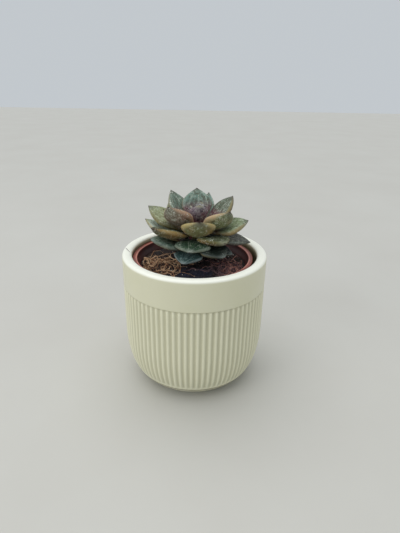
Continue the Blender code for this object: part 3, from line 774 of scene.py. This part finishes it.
def ringInOrder(level, ring, outward):
    # a ring's places, from its left margin over the upper face and back under the keel
    members = [vert for vert in level if level[vert] == ring]
    order = [members[0]]
    while len(order) < len(members):
        rim = [edge for edge in order[-1].link_edges
               if any(level[vert] != ring for face in edge.link_faces for vert in face.verts)]
        beside = [edge.other_vert(order[-1]) for edge in rim]
        order.append(next(vert for vert in beside if level[vert] == ring and vert not in order))
    places = [vert.co.copy() for vert in order]
    sides, top = leafForm["sides"], leafForm["topSteps"]
    while len(places) < sides:  # a point on a straight edge isn't kept in the CAD mesh
        gap = max(range(len(places)), key=lambda i: (places[i] - places[i - 1]).length)
        places.insert(gap, (places[gap] + places[gap - 1]) / 2)
    start = max(range(sides), key=lambda i: (places[i] - places[(i + top) % sides]).length)
    places = places[start:] + places[:start]
    if (places[0] - places[top]).dot(Vector((0, 0, 1)).cross(outward)) < 0:
        places = [places[(top - i) % sides] for i in range(sides)]
    return places


def cadRings(node):
    # the rings of a CAD leaf, plumped, from the middle of its base to its tip
    found = bmesh.new()
    found.from_mesh(cadNodes[node].data)
    bmesh.ops.remove_doubles(found, verts=found.verts, dist=0.001 * mm)
    tip, level = ringLevels(found)
    outward = Vector((tip.co.x - stemAxis.x, tip.co.y - stemAxis.y, 0)).normalized()
    rings = [ringInOrder(level, ring, outward) for ring in range(max(level.values()), 0, -1)]
    top, sides = leafForm["topSteps"], leafForm["sides"]
    keel = (top + sides) // 2
    for ring in rings[1:-1]:
        upward, width = (ring[top // 2] - ring[keel]).normalized(), (ring[0] - ring[top]).length
        for step, push in leafForm["plump"].items():
            ring[step] += upward * width * push
    rings = [[sum(rings[0], Vector()) / sides]] + rings + [[tip.co.copy()]]
    found.free()
    return rings


def leafLengths(rings, pinch):
    # how far along its midline each ring lies; with a pinch the rings near the tip narrow
    top = leafForm["topSteps"]
    middles = [(ring[0] + ring[top % len(ring)]) / 2 for ring in rings]
    lengths = [0.0]
    for first, second in zip(middles, middles[1:]):
        lengths.append(lengths[-1] + (second - first).length)
    for ring, middle, length in zip(rings[1:-1], middles[1:-1], lengths[1:-1]):
        sideways = (ring[0] - ring[top]).normalized()
        late = (length / lengths[-1] - leafForm["pinchFrom"]) / leafForm["pinchRun"]
        for point in ring:
            point -= sideways * (point - middle).dot(sideways) * pinch * min(1, max(0, late))
    return lengths


def leafLayers(shape):
    # what the skin is painted by, and the sharpness of the tip
    names = ("along", "across", "under", "crease_vert")
    return {name: shape.verts.layers.float.new(name) for name in names}


def ballPlace(point, last, sides):
    # the ring and the step of a ball's point, counted from its lower pole
    ring = round(last * math.acos(max(-1, min(1, -point.z))) / math.pi)
    return ring, round(sides * math.atan2(point.y, point.x) / (2 * math.pi)) % sides


def noteRun(vert, layers, share, step, sides, atTip):
    # notes the run of the length and the width, and hands back the angle round the section
    top = leafForm["topSteps"]
    turn = math.pi * (step / top if step <= top else 1 + (step - top) / (sides - top))
    vert[layers["along"]] = share
    vert[layers["across"]] = math.cos(turn)
    vert[layers["under"]] = 0.5 if step in (0, top) else float(step > top)
    vert[layers["crease_vert"]] = float(atTip)
    return turn


def leafCage(node, pinch, draw):
    # a ball drawn out over the CAD leaf's rings
    rings = cadRings(node)
    lengths = leafLengths(rings, pinch)
    last, sides, top = len(rings) - 1, leafForm["sides"], leafForm["topSteps"]
    shape = bmesh.new()
    bmesh.ops.create_uvsphere(shape, u_segments=sides, v_segments=last, radius=1)
    layers = leafLayers(shape)
    edgeCrease = shape.edges.layers.float.new("crease_edge")
    shift = Vector((draw.uniform(-9, 9), draw.uniform(-9, 9), draw.uniform(-9, 9)))
    margins = set()
    for vert in shape.verts:
        ring, step = ballPlace(vert.co, last, sides)
        step %= len(rings[ring])  # a pole has one place
        share = lengths[ring] / lengths[-1]
        noteRun(vert, layers, share, step, sides, ring == last)
        if ring in (0, last):
            vert[layers["across"]] = 0
        elif step in (0, top):
            margins.add(vert)
        vert.co = rings[ring][step]
        waver = leafForm["waver"] * math.sin(math.pi * share)  # no two real leaves are quite even
        vert.co += noise.noise_vector(vert.co * leafForm["waverScale"] + shift) * waver
    for edge in shape.edges:
        first, second = edge.verts
        lengthwise = first[layers["along"]] != second[layers["along"]]
        if first in margins and second in margins and lengthwise:
            edge[edgeCrease] = leafForm["marginCrease"]
    bmesh.ops.recalc_face_normals(shape, faces=shape.faces)
    return meshOf(shape)


def leafSkin(name, look):
    f = Finish(name)
    where = f.place()
    along, across, under = f.attribute("along"), f.attribute("across"), f.attribute("under")
    lineValues = {0: across * 15, 1: along * 2.2, 2: look["seed"]}  # lines run along the leaf
    lines = f.noise(f.node("ShaderNodeCombineXYZ", None, lineValues), 1.0, 4, 0.65)
    cloud = f.noise(where, 170, 3)
    grain = f.noise(where, 2600, 3, 0.6)
    mottle = f.noise(where, 620, 4, 0.7)
    cluster = f.step(f.noise(where, 190, 2), 0.46, 0.56)
    specks = f.dots(where, 600, 0.14, 0.30) * f.step(f.noise(where, 430, 2), 0.44, 0.56)
    specks = (specks + f.dots(where, 1400, 0.18, 0.34)) * cluster

    # the upper face
    bladeRun = along + 0.35 * (cloud - 0.5) + 0.3 * (lines - 0.5)
    blade = f.step(bladeRun, look["rootEnd"] - 0.2, look["rootEnd"] + 0.12)
    face = f.blend(look["root"], look["blade"], blade)
    paleLines = f.step(lines, 0.52, 0.74) * look["lines"] * f.step(along, 0.1, 0.5)
    face = f.blend(face, look["pale"], paleLines)
    rootLines = f.step(lines, 0.46, 0.60) * look["lines"] * f.step(along, 0.55, 0.3)
    face = f.blend(face, look["rootLine"], rootLines)

    # the lower face
    back = f.blend(look["root"], look["belly"], f.step(along + 0.3 * (cloud - 0.5), 0.12, 0.42))
    flush = f.step(cloud + 0.25 * (across.size() - 0.5), 0.42, 0.66)
    back = f.blend(back, look["warm"], flush * 0.85)
    back = f.blend(back, look["blade"], f.step(along + 0.3 * (cloud - 0.5), 0.6, 0.95) * 0.75)
    back = f.blend(back, look["pale"], f.step(lines, 0.58, 0.8) * look["lines"] * 0.5)

    # mottling, margin, tip, spots and the dark point on both
    skin = f.blend(face, back, f.step(under, 0.40, 0.62))
    skin = f.blend(skin, look["mottle"], f.step(mottle, 0.50, 0.64) * 0.8)
    skin = f.blend(skin, look["pale"], f.step(mottle, 0.47, 0.34) * 0.5)
    skin = f.blend(skin, look["mottle"], f.step(lines, 0.46, 0.34) * look["lines"] * 0.6)
    # a pale band along the margins: partly the leaf's own pale edge, partly a painted highlight on the
    # rounded margin
    edge = f.step(across.size() + 0.14 * (mottle - 0.5), 0.84, 0.97) * f.step(along, 0.2, 0.4)
    skin = f.blend(skin, look["margin"], edge * look["marginShare"])
    tipRun = along + 0.1 * (cloud - 0.5) + 0.1 * (mottle - 0.5)
    skin = f.blend(skin, look["tip"], f.step(tipRun, 0.84, 0.97) * 0.7)
    skin = f.blend(skin, look["spot"], f.step(specks, 0.0, 1.0) * look["speckle"])
    skin = f.blend(skin, look["point"], f.step(along, 0.965, 0.99))
    f.set(Base_Color=skin, Roughness=0.40 + 0.22 * cloud + 0.1 * grain, Specular_IOR_Level=0.32)
    f.relief(lines * 0.7 + grain * 0.25 + specks * 0.35 + cloud * 0.6, 0.28 * mm, 0.75)
    return f.material


leafDraw = random.Random(leafForm["seed"])
noise.seed_set(leafForm["seed"])  # unseeded, noise_vector would follow the clock
for leafNode in sorted(name for name in cadNodes if name.startswith("leaf_")):
    ending = leafNode[-2:]
    order = int(ending)  # 1 is the lowest leaf
    tierName, own = leafTones.get(leafNode, ("middle" if order > 11 else "lower", {}))
    look = {**leafLook, **tiers[tierName], **own, "seed": leafDraw.uniform(0, 50)}
    leafMesh = bakedMesh(leafCage(leafNode, look["pinch"], leafDraw), leafForm["levels"])
    addPiece("fleshyLeaf" + ending, leafMesh, leafSkin("leafSkin" + ending, look), [leafNode])
print("leaves made")

# the heart: small upright leaves round the growing tip, each turned on from the last
heart = {
    "leaves": 10, "first": 282, "turn": 137.5, "shrink": 0.56, "rise": (60, 80), "levels": 2,
    "length": 12.2 * mm, "width": 11.0 * mm, "baseWidth": 7.0 * mm, "thickness": 1.7 * mm,
    "curl": math.radians(26), "cup": 0.5, "keel": 0.74, "inset": 1.7 * mm, "base": 91.8 * mm,
    "rings": (0, 0.12, 0.25, 0.38, 0.50, 0.62, 0.72, 0.82, 0.90, 0.96), "sides": 10,
    "widest": 0.55, "flare": 1.7, "narrowing": (2.1, 1.1),
    "thickest": 0.66, "swelling": 1.9, "thinning": (2.2, 0.9), "baseDepth": 0.27,
}
heartLook = {
    **leafLook, "blade": tone(138, 138, 138), "belly": tone(144, 126, 136),
    "warm": tone(138, 94, 102), "root": tone(96, 56, 66), "rootLine": tone(190, 164, 172),
    "tip": tone(164, 160, 130), "margin": tone(140, 122, 126), "mottle": tone(48, 36, 58),
    "pale": tone(190, 186, 184), "speckle": 0.8, "lines": 1.2, "rootEnd": 0.6, "seed": 3.0,
}


def budSection(share, size, p):
    # half the width and the depth of a small leaf at a share of its length
    width = p["width"] * size
    base = p["baseWidth"] * size / width
    growth = math.sin(0.5 * math.pi * min(1, share / p["widest"])) ** p["flare"]
    fall = max(0, (share - p["widest"]) / (1 - p["widest"]))
    half = 0.5 * width * (base + (1 - base) * growth)
    half *= (1 - fall ** p["narrowing"][0]) ** p["narrowing"][1]
    swollen = math.sin(0.5 * math.pi * min(1, share / p["thickest"])) ** p["swelling"]
    fall = max(0, (share - p["thickest"]) / (1 - p["thickest"]))
    depth = p["thickness"] * between(p["baseDepth"], 1, swollen)
    return half, depth * (1 - fall ** p["thinning"][0]) ** p["thinning"][1]


def budLeafCage(p, size, rise):
    # a ball drawn out into one small leaf; its rings become the leaf's sections
    last, curl, length = len(p["rings"]) + 1, p["curl"], p["length"] * size
    shape = bmesh.new()
    bmesh.ops.create_uvsphere(shape, u_segments=p["sides"], v_segments=last, radius=1)
    layers = leafLayers(shape)
    for vert in shape.verts:
        ring, step = ballPlace(vert.co, last, p["sides"])
        share = (0, *p["rings"], 1)[ring]
        half, depth = budSection(share, size, p) if 0 < ring < last else (0, 0)
        turn = noteRun(vert, layers, share, step, p["sides"], ring == last)
        part = 1 - p["keel"] if math.sin(turn) > 0 else p["keel"]
        above = depth * part * math.sin(turn) + p["cup"] * half * math.cos(turn) ** 2
        bend = rise + curl * share
        vert.co = (length * (math.sin(bend) - math.sin(rise)) / curl - above * math.sin(bend),
                   half * math.cos(turn),
                   length * (math.cos(rise) - math.cos(bend)) / curl + above * math.cos(bend))
    return shape


budSkin = leafSkin("budSkin", heartLook)
for number in range(heart["leaves"]):
    inward = number / (heart["leaves"] - 1)
    size = 1 - heart["shrink"] * inward
    turn = math.radians(heart["first"] + number * heart["turn"])
    budShape = budLeafCage(heart, size, math.radians(between(*heart["rise"], inward)))
    inset = heart["inset"] * size
    foot = stemAxis + Vector((inset * math.cos(turn), inset * math.sin(turn), heart["base"]))
    lie = Matrix.Translation(foot) @ Matrix.Rotation(turn, 4, "Z")
    bmesh.ops.transform(budShape, matrix=lie, verts=budShape.verts)
    budMesh = bakedMesh(meshOf(budShape), heart["levels"])
    addPiece(f"budLeaf{number + 1}", budMesh, budSkin, ["heart"])
print("heart made")

# floor, light and camera
setting = {
    "floor": tone(203, 202, 196), "patch": tone(193, 190, 183), "floorSize": 3,
    "sky": tone(206, 212, 217), "skyPower": 0.88,
    "window": (-0.70, -0.48, 0.45), "windowAim": (0, 0, 0.06), "windowSize": 0.5,
    "windowPower": 1.5, "windowColour": (0.98, 0.99, 1.0),
    "panelAim": (0.16, -0.12, -1), "panelSpread": math.radians(70),  # as even as daylight
    "panelPower": 1.25, "panelColour": (1.0, 0.985, 0.95),
}
floorShape = bmesh.new()
bmesh.ops.create_grid(floorShape, x_segments=1, y_segments=1, size=setting["floorSize"])
floorMesh = meshOf(floorShape)
paleFloor = bpy.data.objects.new("paleFloor", floorMesh)
bpy.context.scene.collection.objects.link(paleFloor)
floorFinish = Finish("paleFloor")
floorPatch = floorFinish.noise(floorFinish.place(), 9, 4)
floorColour = floorFinish.blend(setting["floor"], setting["patch"], floorPatch)
floorFinish.set(Base_Color=floorColour, Roughness=0.6)
floorMesh.materials.append(floorFinish.material)

world = bpy.data.worlds.new("softRoom")
bpy.context.scene.world = world
world.use_nodes = True
world.node_tree.nodes["Background"].inputs["Color"].default_value = setting["sky"]
world.node_tree.nodes["Background"].inputs["Strength"].default_value = setting["skyPower"]


def addLight(name, kind, place, direction, power, colour):
    lamp = bpy.data.lights.new(name, kind)
    lamp.energy = power
    lamp.color = colour
    light = bpy.data.objects.new(name, lamp)
    bpy.context.scene.collection.objects.link(light)
    light.location = place
    light.rotation_mode = "QUATERNION"
    light.rotation_quaternion = direction.to_track_quat("-Z", "Y")
    return lamp


windowWay = Vector(setting["windowAim"]) - Vector(setting["window"])
windowLight = addLight("windowLight", "AREA", setting["window"], windowWay,
                       setting["windowPower"], setting["windowColour"])
windowLight.shape = "DISK"
windowLight.size = setting["windowSize"]
skyPanel = addLight("skyPanel", "SUN", (0, 0, 0), Vector(setting["panelAim"]),
                    setting["panelPower"], setting["panelColour"])
skyPanel.angle = setting["panelSpread"]

view = {  # where the photograph was taken from
    "lens": 27.0, "sensor": 36, "nearest": 0.01, "shift": -0.0024,
    "place": (0, -0.20743, 0.15917),
    "right": Vector((0.9998333, -0.0078656, 0.0164773)),
    "up": Vector((-0.0118500, 0.4070184, 0.9133431)),
    "ahead": Vector((0.0138905, 0.9133861, -0.4068574)),
}
cameraData = bpy.data.cameras.new("camera")
cameraData.lens = view["lens"]
cameraData.sensor_width = view["sensor"]
cameraData.clip_start = view["nearest"]
cameraData.shift_y = view["shift"]
camera = bpy.data.objects.new("camera", cameraData)
bpy.context.scene.collection.objects.link(camera)
stand = Matrix((view["right"], view["up"], -view["ahead"])).transposed().to_4x4()
stand.translation = view["place"]
camera.matrix_world = stand
bpy.context.scene.camera = camera
bpy.context.scene.view_settings.view_transform = "Standard"
print("floor, light and camera made")
